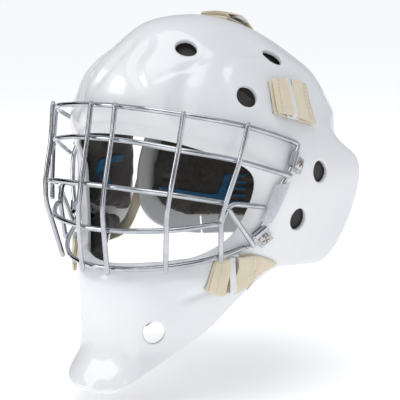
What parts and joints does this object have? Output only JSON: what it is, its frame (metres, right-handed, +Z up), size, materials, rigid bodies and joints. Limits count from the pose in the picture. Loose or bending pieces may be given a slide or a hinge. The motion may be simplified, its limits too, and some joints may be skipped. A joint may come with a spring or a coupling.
{
  "type": "goalie mask",
  "caption": "Ice hockey goalie mask: one-piece white shell with round vents, steel wire cage, foam liner, elastic straps and a hinged rear head guard.",
  "frame": {"origin": "on the mid-plane between the cheeks, level with the middle of the face opening's lower half; named by the mount head_cavity", "axes": "+Z up, -Y the way the wearer looks, +X the wearer's left"},
  "size_m": [0.2404, 0.262, 0.2894],
  "materials": {
    "shell": "glossy white gelcoat over a fibreglass laminate",
    "foam": "matt black closed-cell foam with a fabric face",
    "trim": "blue moulded fabric",
    "cage": "bright plated steel wire",
    "hardware": "nickel-plated steel",
    "label": "silver-grey film, blank",
    "elastic": "woven cream elastic webbing",
    "buckle": "white moulded plastic",
    "back_plate": "white moulded plastic"
  },
  "bodies": {
    "mask_shell": {"shell": "shell", "forehead_pad": "foam", "crown_pad": "foam", "chin_cup": "foam", "temple_pad_left": "foam", "temple_pad_right": "foam", "jaw_pad_left": "foam", "jaw_pad_right": "foam", "temple_trim_left": "trim", "temple_trim_right": "trim", "cage_rim_wire": "cage", "cage_brow_wire": "cage", "cage_eye_wire": "cage", "cage_mouth_wire": "cage", "cage_lower_wire": "cage", "cage_bar_1": "cage", "cage_bar_2": "cage", "cage_bar_3": "cage", "cage_bar_4": "cage", "cage_bar_5": "cage", "cage_bar_6": "cage", "cage_hook_left": "cage", "cage_hook_right": "cage", "cage_brace_left": "cage", "cage_brace_right": "cage", "cage_clips": "cage", "cage_screws": "hardware", "cage_nuts": "hardware", "cage_label": "label", "top_strap": "elastic", "upper_strap_left": "elastic", "upper_strap_right": "elastic", "jaw_strap_left": "elastic", "jaw_strap_right": "elastic"},
    "back_guard": {"back_plate": "back_plate", "back_pad": "foam", "back_trim": "trim", "plate_rivets": "hardware", "top_run": "elastic", "upper_run_left": "elastic", "upper_run_right": "elastic", "jaw_run_left": "elastic", "jaw_run_right": "elastic"},
    "top_buckle_body": {"top_buckle": "buckle"},
    "upper_buckle_left_body": {"upper_buckle_left": "buckle"},
    "upper_buckle_right_body": {"upper_buckle_right": "buckle"},
    "jaw_buckle_left_body": {"jaw_buckle_left": "buckle"},
    "jaw_buckle_right_body": {"jaw_buckle_right": "buckle"}
  },
  "joints": [
    {"name": "back_guard_swing", "type": "hinge", "parent": "mask_shell", "child": "back_guard", "pos_m": [0, 0.098, 0.1125], "axis": [1, 0, 0], "range_deg": [0, 25], "deforming": ["top_run", "upper_run_left", "upper_run_right", "jaw_run_left", "jaw_run_right"]},
    {"name": "top_buckle_slide", "type": "slide", "parent": "mask_shell", "child": "top_buckle_body", "axis": [0, 0.9442, -0.3293], "range_m": [-0.0015, 0.0015]},
    {"name": "upper_buckle_left_slide", "type": "slide", "parent": "mask_shell", "child": "upper_buckle_left_body", "axis": [0.0794, 0.9905, -0.1126], "range_m": [-0.003, 0.003]},
    {"name": "upper_buckle_right_slide", "type": "slide", "parent": "mask_shell", "child": "upper_buckle_right_body", "axis": [-0.0794, 0.9905, -0.1126], "range_m": [-0.003, 0.003]},
    {"name": "jaw_buckle_left_slide", "type": "slide", "parent": "mask_shell", "child": "jaw_buckle_left_body", "axis": [0.4491, 0.8929, 0.0321], "range_m": [-0.0015, 0.0015]},
    {"name": "jaw_buckle_right_slide", "type": "slide", "parent": "mask_shell", "child": "jaw_buckle_right_body", "axis": [-0.4491, 0.8929, 0.0321], "range_m": [-0.0015, 0.0015]}
  ]
}
